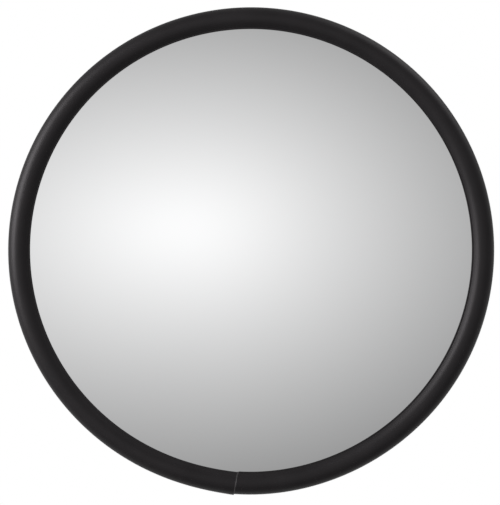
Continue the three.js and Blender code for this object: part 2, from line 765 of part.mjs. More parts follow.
const hinge = groupAt(bracket, 0, -HINGE_REACH, 0);
add(hinge, "hinge_bolt", hingeBolt(), ZINC);
add(hinge, "hinge_washer", hingeWasher(), ZINC);
add(hinge, "wing_nut", wingNut(), ZINC);
add(hinge, "knuckle_washer_right", knuckleWasher(), NYLON);
add(hinge, "knuckle_washer_left", knuckleWasher(), NYLON).rotation.z = Math.PI;

const ball = groupAt(mirror, 0, -REACH, 0);
add(ball, "arm_knuckle", armKnuckle(), BLACK_STEEL);
add(ball, "outer_tube", outerTube(), BLACK_STEEL);
add(ball, "knuckle_pin", knucklePin(), ZINC);
add(ball, "guide_bush", guideBush(), NYLON);
add(ball, "clamp_collar", clampCollar(), BLACK_PLASTIC);

const clamp = groupAt(ball, 0, CLAMP_Y, 0);
add(clamp, "pressure_pad", pressurePad(), BRASS);
add(clamp, "clamp_knob_screw", clampKnobScrew(), ZINC);
add(clamp, "clamp_knob_head", clampKnobHead(), BLACK_PLASTIC);

add(ball, "inner_tube", innerTube(), CHROME);
add(ball, "tail_bush", tailBush(), NYLON);
add(ball, "stud_insert", studInsert(), BRASS);

add(ball, "ball_stud", ballStud(), ZINC);
add(ball, "jam_nut", jamNut(), ZINC);
add(ball, "jam_lock_washer", jamLockWasher(), ZINC);
add(ball, "socket_liner", socketLiner(), NYLON);
add(ball, "socket_plate", socketPlate(), ZINC);
add(ball, "backing_plate", backingPlate(), ZINC);
corners(SOCKET_BOLT, SOCKET_BOLT).forEach(([x, z], i) => {
  add(ball, `socket_screw_${i + 1}`, socketScrew(), ZINC).position.set(x, 0, z);
  add(ball, `socket_nut_${i + 1}`, socketNut(), ZINC).position.set(x, 0, z);
});

add(ball, "back_board", backBoard(), HARDBOARD);
add(ball, "mirror_lens", mirrorLens(), MIRRORED);
add(ball, "edge_trim", edgeTrim(), VINYL);

export default mirror;
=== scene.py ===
"""Convex security mirror on a telescoping arm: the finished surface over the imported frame."""

import json
import math

import bmesh
import bpy
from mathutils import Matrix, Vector
from mathutils.geometry import tessellate_polygon


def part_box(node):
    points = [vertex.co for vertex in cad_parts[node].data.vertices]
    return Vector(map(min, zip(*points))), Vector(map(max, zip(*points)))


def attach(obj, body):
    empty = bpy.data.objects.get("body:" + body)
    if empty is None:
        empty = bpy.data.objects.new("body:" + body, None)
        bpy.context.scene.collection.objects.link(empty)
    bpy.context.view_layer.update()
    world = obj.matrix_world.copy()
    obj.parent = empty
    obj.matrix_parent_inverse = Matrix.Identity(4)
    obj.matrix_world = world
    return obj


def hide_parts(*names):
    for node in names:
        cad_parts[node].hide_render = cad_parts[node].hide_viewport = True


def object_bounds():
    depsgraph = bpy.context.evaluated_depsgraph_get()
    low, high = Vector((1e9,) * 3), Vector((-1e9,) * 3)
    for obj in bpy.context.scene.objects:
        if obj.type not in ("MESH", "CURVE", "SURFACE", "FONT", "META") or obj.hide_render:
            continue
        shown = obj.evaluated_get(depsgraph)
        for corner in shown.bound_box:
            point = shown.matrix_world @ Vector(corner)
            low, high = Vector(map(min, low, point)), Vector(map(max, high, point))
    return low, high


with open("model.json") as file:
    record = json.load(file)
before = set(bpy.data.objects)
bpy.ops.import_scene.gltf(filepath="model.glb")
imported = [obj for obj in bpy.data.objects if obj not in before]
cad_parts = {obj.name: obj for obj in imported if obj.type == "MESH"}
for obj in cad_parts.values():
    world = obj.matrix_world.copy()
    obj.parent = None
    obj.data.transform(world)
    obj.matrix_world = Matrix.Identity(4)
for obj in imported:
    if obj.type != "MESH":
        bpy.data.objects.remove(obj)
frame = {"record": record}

cad_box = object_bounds()

# Shapes are drawn in millimetres, and become metres when a piece is made.
MM = 0.001
TAU = 2 * math.pi
QUARTER = math.pi / 2

RECORD = frame["record"]
JOINTS = {joint["name"]: joint for joint in RECORD["behaviour"]["joints"]}
BODY = {node: body for body, nodes in RECORD["behaviour"]["bodies"].items() for node in nodes}
SLOT = {part["node"]: part["material_slot"] for part in RECORD["subparts"]}


def span(node):
    """Lowest and highest corner of a CAD node, in millimetres."""
    low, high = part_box(node)
    return Vector(low) / MM, Vector(high) / MM


def pivot(joint):
    return Vector(JOINTS[joint]["pos_m"]) / MM


# ---- Places that the frame gives ----------------------------------------------------

BALL = pivot("mirror_tilt")
HINGE = pivot("arm_fold")
CLAMP = pivot("clamp_knob_turn")

# The edging is a split tube of vinyl, whose ends meet near the lowest point.
EDGE_RADIUS = 10.65
EDGE_BORE = 8.25
EDGE_CENTRE = 228.6 - EDGE_RADIUS
SEAM = math.radians(3.8)
SEAM_SLANT = math.tan(math.radians(5))
SEAM_HOOK = 1.3  # how far the cut runs off sideways at the lip


# ---- Shapes -------------------------------------------------------------------------
# A shell is a list of points and a list of faces.


def about_y(centre=(0, 0, 0)):
    """Places (radius, distance, angle) about a line along Y through centre."""
    x, y, z = centre
    return lambda r, d, a: Vector((x + r * math.sin(a), y + d, z - r * math.cos(a)))


def about_x(centre=(0, 0, 0)):
    x, y, z = centre
    return lambda r, d, a: Vector((x + d, y - r * math.cos(a), z + r * math.sin(a)))


def about_z(centre=(0, 0, 0)):
    x, y, z = centre
    return lambda r, d, a: Vector((x + r * math.cos(a), y + r * math.sin(a), z + d))


def hexagonal(flats, place):
    """Keeps a turned shape inside a hexagon, so that a cone on its end becomes a chamfer."""
    def put(r, d, a):
        from_flat = (a + TAU / 12) % (TAU / 6) - TAU / 12
        return place(min(r, flats / 2 / math.cos(from_flat)), d, a)
    return put


def threaded(pitch, depth, start, end, place):
    """Cuts a right-hand thread into a turned shape between two distances."""
    def put(r, d, a):
        fade = min(1, max(0, min(d - start, end - d) / pitch))
        groove = abs((d / pitch - a / TAU) % 1 * 2 - 1)
        return place(r - depth * fade * groove, d, a)
    return put


def around(segments, start=0, end=TAU):
    return [start + (end - start) * i / segments for i in range(segments + 1)]


def revolve(profile, place, angles=None, segments=96):
    """Turns (radius, distance) points. The profile closes on itself, or starts and ends on the axis."""
    whole = angles is None
    angles = around(segments)[:-1] if whole else angles
    on_axis = profile[0][0] == 0 and profile[-1][0] == 0
    size = len(profile)
    points = [place(r, d, a) for a in angles for r, d in profile]
    faces = []
    for i in range(len(angles) if whole else len(angles) - 1):
        this = i * size
        other = (i + 1) % len(angles) * size
        for k in range(size - 1 if on_axis else size):
            m = (k + 1) % size
            faces.append((this + k, other + k, other + m, this + m))
    if not whole:
        faces.append(tuple(range(size)))
        faces.append(tuple(range(len(points) - size, len(points))))
    return points, faces


def arc(centre, radius, start, end, steps):
    """Points round a circle in a profile. Angles are in degrees from +radius to +distance."""
    angles = [math.radians(start + (end - start) * i / steps) for i in range(steps + 1)]
    return [(centre[0] + radius * math.cos(a), centre[1] + radius * math.sin(a)) for a in angles]


def rounded(profile, radius, steps=3):
    """Rounds the corners of a profile. An end on the axis stays where it is."""
    open_ended = profile[0][0] == 0 and profile[-1][0] == 0
    made = []
    for i, point in enumerate(profile):
        here = Vector(point)
        if open_ended and i in (0, len(profile) - 1):
            made.append(tuple(here))
            continue
        back = Vector(profile[i - 1]) - here
        ahead = Vector(profile[(i + 1) % len(profile)]) - here
        if back.angle(ahead) > math.radians(165):
            made.append(tuple(here))
            continue
        reach = min(radius, 0.4 * back.length, 0.4 * ahead.length)
        start = here + back.normalized() * reach
        end = here + ahead.normalized() * reach
        for s in range(steps + 1):
            t = s / steps
            made.append(tuple(start.lerp(here, t).lerp(here.lerp(end, t), t)))
    return made


def tube(outer, inner, start, end, place, edge=0.3, segments=96):
    return revolve(rounded([(inner, start), (outer, start), (outer, end), (inner, end)], edge), place,
                   segments=segments)


def rod(radius, start, end, place, edge=0.3, segments=96):
    return revolve(rounded([(0, start), (radius, start), (radius, end), (0, end)], edge), place,
                   segments=segments)


def rungs(radius, start, end, step):
    """A straight stretch of profile, cut fine enough to carry a thread."""
    count = max(1, round(abs(end - start) / step))
    return [(radius, start + (end - start) * i / count) for i in range(count + 1)]


def circle(x, z, radius, segments=48):
    """An outline that gives its points for an inset; a hole has a negative radius."""
    def outline(inset):
        r = abs(radius - inset)
        return [(x + r * math.cos(a), z + r * math.sin(a)) for a in around(segments)[:-1]]
    return outline


def rounded_rectangle(width, height, corner, steps=10):
    def outline(inset):
        points = []
        for i, (sx, sz) in enumerate([(1, 1), (-1, 1), (-1, -1), (1, -1)]):
            x = sx * (width / 2 - corner)
            z = sz * (height / 2 - corner)
            for s in range(steps + 1):
                a = QUARTER * (i + s / steps)
                points.append((x + (corner - inset) * math.cos(a), z + (corner - inset) * math.sin(a)))
        return points
    return outline


def sheet(outlines, front, back, edge, place=lambda x, d, z: Vector((x, d, z))):
    """A flat piece between two distances, from its outline and its holes, with rounded edges."""
    steps = [(edge * (1 - math.sin(a)), edge * (1 - math.cos(a))) for a in around(4, 0, QUARTER)]
    levels = [(inset, front + depth) for inset, depth in steps]
    levels += [(inset, back - depth) for inset, depth in reversed(steps)]
    points = []
    faces = []
    caps = {0: [], len(levels) - 1: []}
    for outline in outlines:
        for row, (inset, depth) in enumerate(levels):
            loop = outline(inset)
            first = len(points)
            points += [place(x, depth, z) for x, z in loop]
            count = len(loop)
            if row in caps:
                caps[row].append([(Vector((x, z, 0)), first + i) for i, (x, z) in enumerate(loop)])
            if row:
                faces += [(first - count + i, first - count + (i + 1) % count,
                           first + (i + 1) % count, first + i) for i in range(count)]
    for loops in caps.values():
        index = [i for loop in loops for _, i in loop]
        triangles = tessellate_polygon([[p for p, _ in loop] for loop in loops])
        faces += [tuple(index[i] for i in triangle) for triangle in triangles]
    return points, faces


def together(*shells):
    points = []
    faces = []
    for more_points, more_faces in shells:
        faces += [tuple(i + len(points) for i in face) for face in more_faces]
        points += more_points
    return points, faces


def new_mesh(name, shell):
    points, faces = shell
    mesh = bpy.data.meshes.new(name)
    mesh.from_pydata([point * MM for point in points], [], faces)
    work = bmesh.new()
    work.from_mesh(mesh)
    bmesh.ops.remove_doubles(work, verts=work.verts, dist=1e-7)
    bmesh.ops.recalc_face_normals(work, faces=work.faces)
    work.to_mesh(mesh)
    work.free()
    return mesh


def new_object(name, shell):
    piece = bpy.data.objects.new(name, new_mesh(name, shell))
    bpy.context.scene.collection.objects.link(piece)
    return piece


def modified(shell, *modifiers):
    """The shell after some modifiers, each given as (type, settings)."""
    piece = new_object("work", shell)
    for kind, settings in modifiers:
        modifier = piece.modifiers.new(kind, kind)
        for key, value in settings.items():
            setattr(modifier, key, value)
    seen = piece.evaluated_get(bpy.context.evaluated_depsgraph_get())
    mesh = seen.to_mesh()
    points = [vertex.co / MM for vertex in mesh.vertices]
    faces = [tuple(face.vertices) for face in mesh.polygons]
    seen.to_mesh_clear()
    bpy.data.objects.remove(piece)
    return points, faces


def cast(voxel, smoothing, *shells):
    """Closed shells grown together, with soft fillets where they meet."""
    return modified(together(*shells), ("REMESH", {"mode": "VOXEL", "voxel_size": voxel * MM}),
                    ("SMOOTH", {"factor": 0.5, "iterations": smoothing}))


def drilled(shell, *cutters):
    """The shell with other shells cut out of it."""
    tools = [new_object("cutter", cutter) for cutter in cutters]
    made = modified(shell, *[("BOOLEAN", {"operation": "DIFFERENCE", "object": tool}) for tool in tools])
    for tool in tools:
        bpy.data.objects.remove(tool)
    return made


# ---- Materials ----------------------------------------------------------------------


def add_node(tree, kind, inputs=None, **settings):
    """A shader node. An input is a value, or the output socket that feeds it."""
    node = tree.nodes.new(kind)
    for key, value in settings.items():
        setattr(node, key, value)
    for key, value in (inputs or {}).items():
        if isinstance(value, bpy.types.NodeSocket):
            tree.links.new(value, node.inputs[key])
        else:
            node.inputs[key].default_value = value
    return node


def maths(tree, operation, *values):
    return add_node(tree, "ShaderNodeMath", dict(enumerate(values)), operation=operation).outputs[0]


def noise(tree, vector, scale, detail=4.0, roughness=0.55):
    inputs = {"Vector": vector, "Scale": scale, "Detail": detail, "Roughness": roughness}
    return add_node(tree, "ShaderNodeTexNoise", inputs).outputs["Fac"]


def stretched(tree, vector, scale):
    return add_node(tree, "ShaderNodeVectorMath", {0: vector, 1: scale}, operation="MULTIPLY").outputs[0]


def between(tree, value, low, high, start=0.3, end=0.7):
    """value from start to end, spread from low to high."""
    inputs = {"Value": value, "From Min": start, "From Max": end, "To Min": low, "To Max": high}
    return add_node(tree, "ShaderNodeMapRange", inputs).outputs["Result"]


def blend(tree, amount, first, second):
    node = add_node(tree, "ShaderNodeMix", data_type="RGBA")
    for key, value in {0: amount, 6: first, 7: second}.items():
        if isinstance(value, bpy.types.NodeSocket):
            tree.links.new(value, node.inputs[key])
        else:
            node.inputs[key].default_value = value if key == 0 else (*value, 1)
    return node.outputs[2]


class Surface:
    """A material whose colour, roughness and bump come from nodes."""

    def __init__(self, name, metallic=0.0, **inputs):
        self.material = bpy.data.materials.new(name)
        self.material.use_nodes = True
        self.tree = self.material.node_tree
        self.shader = self.tree.nodes["Principled BSDF"]
        self.where = add_node(self.tree, "ShaderNodeTexCoord").outputs["Object"]
        self.shader.inputs["Metallic"].default_value = metallic
        for key, value in inputs.items():
            self.shader.inputs[key.replace("_", " ")].default_value = value

    def noise(self, scale, detail=4.0, stretch=None):
        vector = stretched(self.tree, self.where, stretch) if stretch else self.where
        return noise(self.tree, vector, scale, detail)

    def set(self, key, socket):
        self.tree.links.new(socket, self.shader.inputs[key])

    def colour(self, amount, first, second):
        made = blend(self.tree, between(self.tree, amount, 0, 1), first, second)
        self.set("Base Color", made)
        return made

    def roughness(self, amount, low, high):
        self.set("Roughness", between(self.tree, amount, low, high))

    def bump(self, height, distance, strength=1.0):
        inputs = {"Height": height, "Distance": distance * MM, "Strength": strength}
        self.set("Normal", add_node(self.tree, "ShaderNodeBump", inputs).outputs["Normal"])

    def edges(self, width=0.12):
        """1 on worn outside edges, 0 elsewhere."""
        sharpness = add_node(self.tree, "ShaderNodeNewGeometry").outputs["Pointiness"]
        return between(self.tree, sharpness, 0, 1, 0.5 + width / 2, 0.5 + width)


def mirrored_acrylic():
    surface = Surface("mirrored_acrylic", metallic=1.0)
    haze = surface.noise(9, 3)
    surface.colour(surface.noise(5, 2), (0.925, 0.928, 0.932), (0.935, 0.937, 0.94))
    surface.roughness(haze, 0.018, 0.035)
    return surface.material


def seam_painted_highlight(tree, x, z):
    """1 along the cut where the edging's ends meet, in metres from the mirror's axis: a painted highlight for the
    light that catches the cut's edge.
    """
    def along(first, second):
        return maths(tree, "ADD", maths(tree, "MULTIPLY", x, first), maths(tree, "MULTIPLY", z, second))

    outwards = maths(tree, "SUBTRACT", along(-math.sin(SEAM), -math.cos(SEAM)), EDGE_CENTRE * MM)
    across = along(math.cos(SEAM), -math.sin(SEAM))
    inwards = maths(tree, "MAXIMUM", maths(tree, "DIVIDE", outwards, -EDGE_RADIUS * MM), 0.0)
    hook = maths(tree, "MULTIPLY", maths(tree, "POWER", inwards, 4.0), SEAM_HOOK * MM)
    cut = maths(tree, "SUBTRACT", maths(tree, "ADD", across, maths(tree, "MULTIPLY", outwards, SEAM_SLANT)), hook)
    line = between(tree, maths(tree, "ABSOLUTE", cut), 1, 0, 0.25 * MM, 0.6 * MM)
    here = maths(tree, "LESS_THAN", maths(tree, "ABSOLUTE", outwards), 2 * EDGE_RADIUS * MM)
    return maths(tree, "MULTIPLY", line, here)


def vinyl_edging():
    """Extruded soft vinyl: faint lines run along it, over a fine satin grain."""
    surface = Surface("vinyl_edging", Specular_IOR_Level=0.18, Specular_Tint=(1.0, 0.95, 0.985, 1))
    tree = surface.tree
    parts = add_node(tree, "ShaderNodeSeparateXYZ", {0: surface.where}).outputs
    radius = maths(tree, "SQRT", maths(tree, "ADD", maths(tree, "MULTIPLY", parts[0], parts[0]),
                                       maths(tree, "MULTIPLY", parts[2], parts[2])))
    turn = maths(tree, "MULTIPLY", maths(tree, "ARCTAN2", parts[0], parts[2]), 0.004)
    along = add_node(tree, "ShaderNodeCombineXYZ", {0: radius, 1: parts[1], 2: turn}).outputs[0]
    lines = noise(tree, along, 560, 3)
    grain = surface.noise(1600, 3)
    cloud = surface.noise(28, 3)
    base = surface.colour(cloud, (0.0046, 0.0041, 0.0044), (0.0062, 0.0055, 0.0059))
    # Painted highlight: the seam's cut edge is painted a lighter grey, which stands in for the light it catches.
    surface.set("Base Color", blend(tree, seam_painted_highlight(tree, parts[0], parts[2]), base, (0.034, 0.032, 0.033)))
    surface.roughness(maths(tree, "ADD", maths(tree, "MULTIPLY", cloud, 0.6),
                            maths(tree, "MULTIPLY", lines, 0.4)), 0.40, 0.50)
    height = maths(tree, "ADD", maths(tree, "MULTIPLY", lines, 2.2), grain)
    surface.bump(height, 0.04, 0.7)
    return surface.material


def hardboard():
    """Pressed brown fibre, with the mark of the wire screen on its outer face."""
    surface = Surface("hardboard")
    tree = surface.tree
    lying = surface.noise(210, 3, (1.0, 1.0, 7.0))
    standing = surface.noise(210, 3, (7.0, 1.0, 1.0))
    fibres = maths(tree, "MAXIMUM", lying, standing)
    base = surface.colour(surface.noise(9, 3), (0.118, 0.060, 0.029), (0.138, 0.071, 0.034))
    pale = between(tree, fibres, 0, 0.55, 0.56, 0.74)
    base = blend(tree, pale, base, (0.25, 0.145, 0.080))
    dark = between(tree, surface.noise(1300, 2), 0, 0.6, 0.58, 0.72)
    surface.set("Base Color", blend(tree, dark, base, (0.055, 0.027, 0.013)))
    parts = add_node(tree, "ShaderNodeSeparateXYZ", {0: surface.where}).outputs
    pitch = TAU / (1.3 * MM)
    across = maths(tree, "SINE", maths(tree, "MULTIPLY", parts[0], pitch))
    up = maths(tree, "SINE", maths(tree, "MULTIPLY", parts[2], pitch))
    screen = maths(tree, "MULTIPLY", maths(tree, "ADD", across, up), 0.10)
    surface.roughness(fibres, 0.58, 0.78)
    surface.bump(maths(tree, "ADD", screen, fibres), 0.10, 0.8)
    return surface.material


def black_steel():
    """Black powder coat: orange peel, and a little polish on the edges."""
    surface = Surface("black_steel")
    tree = surface.tree
    cloud = surface.noise(30, 4)
    base = surface.colour(cloud, (0.0105, 0.0105, 0.0112), (0.0155, 0.0155, 0.0162))
    worn = maths(tree, "MULTIPLY", surface.edges(), between(tree, surface.noise(160, 3), 0.2, 1))
    surface.set("Base Color", blend(tree, maths(tree, "MULTIPLY", worn, 0.6), base, (0.09, 0.09, 0.092)))
    surface.roughness(cloud, 0.36, 0.50)
    surface.bump(surface.noise(750, 2), 0.05, 0.7)
    return surface.material


def zinc():
    surface = Surface("zinc", metallic=1.0)
    cloud = surface.noise(120, 5)
    surface.colour(cloud, (0.47, 0.48, 0.475), (0.62, 0.61, 0.565))
    surface.roughness(surface.noise(260, 4), 0.24, 0.40)
    surface.bump(surface.noise(900, 3, (1.0, 0.35, 1.0)), 0.02, 0.5)
    return surface.material


def chrome():
    """Polished, with rub marks along the arm."""
    surface = Surface("chrome", metallic=1.0)
    marks = surface.noise(900, 3, (1.0, 0.04, 1.0))
    surface.colour(surface.noise(30, 3), (0.66, 0.67, 0.68), (0.72, 0.73, 0.74))
    surface.roughness(marks, 0.07, 0.17)
    surface.bump(marks, 0.006, 0.4)
    return surface.material


def nylon():
    surface = Surface("nylon", Subsurface_Weight=0.15, Subsurface_Scale=0.002)
    surface.colour(surface.noise(90, 3), (0.70, 0.67, 0.57), (0.80, 0.77, 0.69))
    surface.roughness(surface.noise(300, 3), 0.42, 0.58)
    surface.bump(surface.noise(1500, 2), 0.02, 0.5)
    return surface.material


def fibre():
    surface = Surface("fibre")
    surface.colour(surface.noise(500, 6, (1.0, 4.0, 1.0)), (0.13, 0.022, 0.013), (0.25, 0.050, 0.030))
    surface.roughness(surface.noise(200, 3), 0.6, 0.8)
    surface.bump(surface.noise(1200, 4), 0.05, 0.7)
    return surface.material


def brass():
    surface = Surface("brass", metallic=1.0)
    surface.colour(surface.noise(140, 4), (0.42, 0.25, 0.055), (0.56, 0.36, 0.10))
    surface.roughness(surface.noise(400, 3), 0.2, 0.36)
    surface.bump(surface.noise(1500, 2, (1.0, 6.0, 1.0)), 0.015, 0.5)
    return surface.material


def black_plastic():
    """Moulded, with a fine spark-eroded texture."""
    surface = Surface("black_plastic")
    tree = surface.tree
    base = surface.colour(surface.noise(40, 3), (0.010, 0.010, 0.0105), (0.015, 0.015, 0.0155))
    surface.set("Base Color", blend(tree, maths(tree, "MULTIPLY", surface.edges(), 0.5), base, (0.05, 0.05, 0.05)))
    surface.roughness(surface.noise(200, 3), 0.42, 0.58)
    surface.bump(surface.noise(1900, 2), 0.06, 0.8)
    return surface.material


MATERIALS = {
    "mirrored_acrylic": mirrored_acrylic(),
    "vinyl_edging": vinyl_edging(),
    "hardboard": hardboard(),
    "black_steel": black_steel(),
    "zinc": zinc(),
    "chrome": chrome(),
    "nylon": nylon(),
    "fibre": fibre(),
    "brass": brass(),
    "black_plastic": black_plastic(),
}


def make(node, shell, crease=40):
    """A finished piece that stands for a CAD node, on that node's body and in its material."""
    piece = new_object(node + "_fine", shell)
    piece.data.shade_smooth()
    piece.data.set_sharp_from_angle(angle=math.radians(crease))
    flat = piece.modifiers.new("flat_faces_stay_flat", "WEIGHTED_NORMAL")
    flat.keep_sharp = True
    piece.data.materials.append(MATERIALS[SLOT[node]])
    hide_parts(node)
    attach(piece, BODY[node])
    return piece


# ---- Wall bracket -------------------------------------------------------------------


def wall_plate():
    low, high = span("wall_plate")
    corner = 12
    holes = [circle(x, z, -3.25) for x in (-26, 26) for z in (-43, 43)]
    outline = rounded_rectangle(high.x - low.x, high.z - low.z, corner)
    make("wall_plate", sheet([outline, *holes], low.y, high.y, 0.6))


def pivot_stud():
    low, high = span("pivot_stud")
    radius = high.x
    profile = [(0, high.y), (radius, high.y), *rungs(radius, high.y - 9, low.y + 1, 0.15)]
    profile += [(radius - 1, low.y), (0, low.y)]
    make("pivot_stud", revolve(profile, threaded(1.5, 0.75, low.y + 0.6, high.y - 8, about_y())))


def washer(node, place, along, bore, edge=0.25):
    low, high = span(node)
    start, end = (low[along] - place(0, 0, 0)[along], high[along] - place(0, 0, 0)[along])
    across = 2 if along != 2 else 0
    outer = (high[across] - low[across]) / 2
    make(node, tube(outer, bore, start, end, place, edge))


def hex_nut_profile(flats, bore, start, end, chamfered_both=True):
    """A nut's section: the chamfer cones start inside the flats."""
    inside = 0.475 * flats
    corner = 0.58 * flats
    rise = (corner - inside) * 0.5
    steps = 8
    low = [(inside + (corner - inside) * i / steps, start + rise * i / steps) for i in range(steps + 1)]
    high = [(r, end - (d - start)) for r, d in reversed(low)]
    if not chamfered_both:
        high = [(corner, end)]
    return [(bore + 0.5, start), *low, *high, (bore + 0.5, end), (bore, end - 0.5), (bore, start + 0.5)]


def pivot_lock_nut():
    low, high = span("pivot_lock_nut")
    flats = high.x - low.x
    shoulder = low.y + 2.5
    nut = revolve(hex_nut_profile(flats, 5.0, shoulder, high.y), hexagonal(flats, about_y()))
    collar = rounded([(5.0, low.y + 0.9), (6.4, low.y + 0.9), (6.6, low.y), (7.6, low.y + 0.2),
                      (7.9, shoulder + 1), (5.0, shoulder + 1)], 0.4)
    make("pivot_lock_nut", together(nut, revolve(collar, about_y())))


def swivel_clevis():
    """A strip bent twice: its section is swept from one ear's tip, across the base, to the other's."""
    low, high = span("swivel_clevis")
    sheet_thickness = 3
    half = high.z
    bend = 2 + sheet_thickness / 2
    x = high.x - sheet_thickness / 2
    base = high.y - sheet_thickness / 2
    ear_end = HINGE.y
    line = [(x, ear_end - half * math.sin(a), half * math.cos(a)) for a in around(18, QUARTER * 0.985, 0)]
    line += [(x, base - bend - 4, half)]
    line += [(x - bend + bend * math.cos(a), base - bend + bend * math.sin(a), half)
             for a in around(8, 0, QUARTER)]
    line += [(-px, py, width) for px, py, width in reversed(line)]
    rows = []
    for i, (px, py, width) in enumerate(line):
        before = Vector(line[max(0, i - 1)][:2])
        after = Vector(line[min(len(line) - 1, i + 1)][:2])
        way = (after - before).normalized()
        out = Vector((way.y, -way.x)) * sheet_thickness / 2
        edge = min(0.5, width * 0.5)
        section = rounded([(-1, -width), (1, -width), (1, width), (-1, width)], edge)
        rows.append([Vector((px + out.x * s, py + out.y * s, z)) for s, z in section])
    size = len(rows[0])
    points = [point for row in rows for point in row]
    faces = [(i * size + k, (i + 1) * size + k, (i + 1) * size + (k + 1) % size, i * size + (k + 1) % size)
             for i in range(len(rows) - 1) for k in range(size)]
    faces += [tuple(range(size)), tuple(range(len(points) - size, len(points)))]
    pivot_hole = rod(5.35, base - 4, base + 4, about_y())
    bolt_hole = rod(4.3, -high.x - 2, high.x + 2, about_x(HINGE))
    make("swivel_clevis", drilled((points, faces), pivot_hole, bolt_hole))


# ---- Hinge --------------------------------------------------------------------------


def hinge_bolt():
    low, high = span("hinge_bolt")
    radius = 3.9
    seat = span("swivel_clevis")[0].x - 0.05
    head = [(8.7 * math.sin(a), seat - 0.7 - 3.7 * math.cos(a)) for a in around(12, 0, QUARTER)]
    thread_start = span("hinge_washer")[0].x
    profile = [*head, (8.7, seat), (radius, seat)]
    profile += rungs(radius, thread_start, high.x - 0.9, 0.125) + [(radius - 0.9, high.x), (0, high.x)]
    profile[0] = (0, profile[0][1])
    make("hinge_bolt", revolve(profile, threaded(1.25, 0.65, thread_start, high.x - 0.3, about_x(HINGE))))


def wing_nut():
    """Cast: a tapered hub and two raised wings."""
    low, high = span("wing_nut")
    seat = low.x
    hub = revolve(rounded([(0, seat), (8, seat), (8, seat + 1.5), (6.4, seat + 10), (0, seat + 10)], 0.7),
                  about_x(HINGE), segments=64)
    wings = []
    for side in (-1, 1):
        spine = [(seat + 4 + 8.0 * t, side * (3 + 12.0 * t), 3.4 + 1.9 * t ** 2, 2.3 - 0.6 * t)
                 for t in (i / 12 for i in range(13))]
        for (x, z, reach, thick) in spine:
            ball = [(0, -1.0), *[(math.cos(a), math.sin(a)) for a in around(10, -QUARTER, QUARTER)][1:-1], (0, 1.0)]
            wings.append(revolve([(r * reach, d * thick * 0.72) for r, d in ball],
                                 about_y((x, HINGE.y, z)), segments=24))
    body = cast(0.36, 6, hub, *wings)
    make("wing_nut", drilled(body, rod(3.95, seat - 1, seat + 20, about_x(HINGE), 0.1)))


# ---- Outer half of the arm ----------------------------------------------------------


def pin_centre():
    low, high = span("knuckle_pin")
    return (low + high) / 2


def pin_hole():
    reach = span("outer_tube")[1].x + 1
    return rod(2.1, -reach, reach, about_x((0, pin_centre().y, 0)), 0.1, 32)


def clamp_hole():
    """The way for the clamp screw and its pad, from below up to the sliding tube."""
    top = -span("inner_tube")[1].x + 2
    return rod(3.25, span("clamp_collar")[0].z - 1, top, about_z(CLAMP), 0.1, 64)


def arm_knuckle():
    """Forged: an eye between the ears, flats beside it, and a machined seat for the tube."""
    low, high = span("arm_knuckle")
    tube_end = span("outer_tube")[1].y
    half = high.x
    eye = rod(high.z, low.x, high.x, about_x(HINGE), 0.5)
    neck = sheet([rounded_rectangle(2 * half, 21.6, 5)], tube_end + 0.05, HINGE.y + 3, 0.4)
    spigot = rod(9.2, low.y, tube_end + 2, about_y(), 0.4)
    bore = rod(4.3, low.x - 1, high.x + 1, about_x(HINGE))
    seat = tube(14, 9.3, low.y - 1, tube_end + 0.05, about_y(), 0.01)
    make("arm_knuckle", drilled(cast(0.42, 5, eye, neck, spigot), bore, seat, pin_hole()))


def outer_tube():
    low, high = span("outer_tube")
    shell = tube(high.x, high.x - 1.5, low.y, high.y, about_y(), 0.4, 128)
    make("outer_tube", drilled(shell, pin_hole(), clamp_hole()))


def knuckle_pin():
    """A rolled spring pin, slit along its length."""
    low, high = span("knuckle_pin")
    centre = (0, pin_centre().y, 0)
    profile = rounded([(1.1, low.x), (1.95, low.x + 0.5), (1.95, high.x - 0.5), (1.1, high.x)], 0.2)
    slit = math.radians(14)
    make("knuckle_pin", revolve(profile, about_x(centre), around(48, QUARTER + slit, QUARTER + TAU - slit)))


def guide_bush():
    low, high = span("guide_bush")
    tube_front = span("outer_tube")[0].y
    bore = span("inner_tube")[1].x - 1 + 0.25
    sleeve = high.x - 1.7
    profile = [(bore, low.y), (high.x, low.y), (high.x, tube_front - 0.05), (sleeve, tube_front - 0.05),
               (sleeve, high.y), (bore, high.y)]
    make("guide_bush", drilled(revolve(rounded(profile, 0.4), about_y()), clamp_hole()))


def clamp_collar():
    """Moulded round the tube, with a boss for the clamp screw."""
    low, high = span("clamp_collar")
    radius = high.x
    boss = rod(8, low.z, 0, about_z(CLAMP), 0.8)
    sleeve = rod(radius, low.y, high.y, about_y(), 1.2)
    bore = rod(11.25, low.y - 1, high.y + 1, about_y())
    make("clamp_collar", drilled(cast(0.4, 6, sleeve, boss), bore, clamp_hole()))


# ---- Telescope lock -----------------------------------------------------------------


def pressure_pad():
    low, high = span("pressure_pad")
    make("pressure_pad", rod((high.x - low.x) / 2, low.z, high.z, about_z(CLAMP), 0.4, 48))


def clamp_knob_screw():
    low, high = span("clamp_knob_screw")
    radius = (high.x - low.x) / 2
    profile = [(0, low.z), (radius, low.z), *rungs(radius, low.z + 0.5, high.z - 0.6, 0.125),
               (radius - 0.6, high.z), (0, high.z)]
    make("clamp_knob_screw", revolve(profile, threaded(1.0, 0.5, low.z + 1, high.z - 0.2, about_z(CLAMP))))


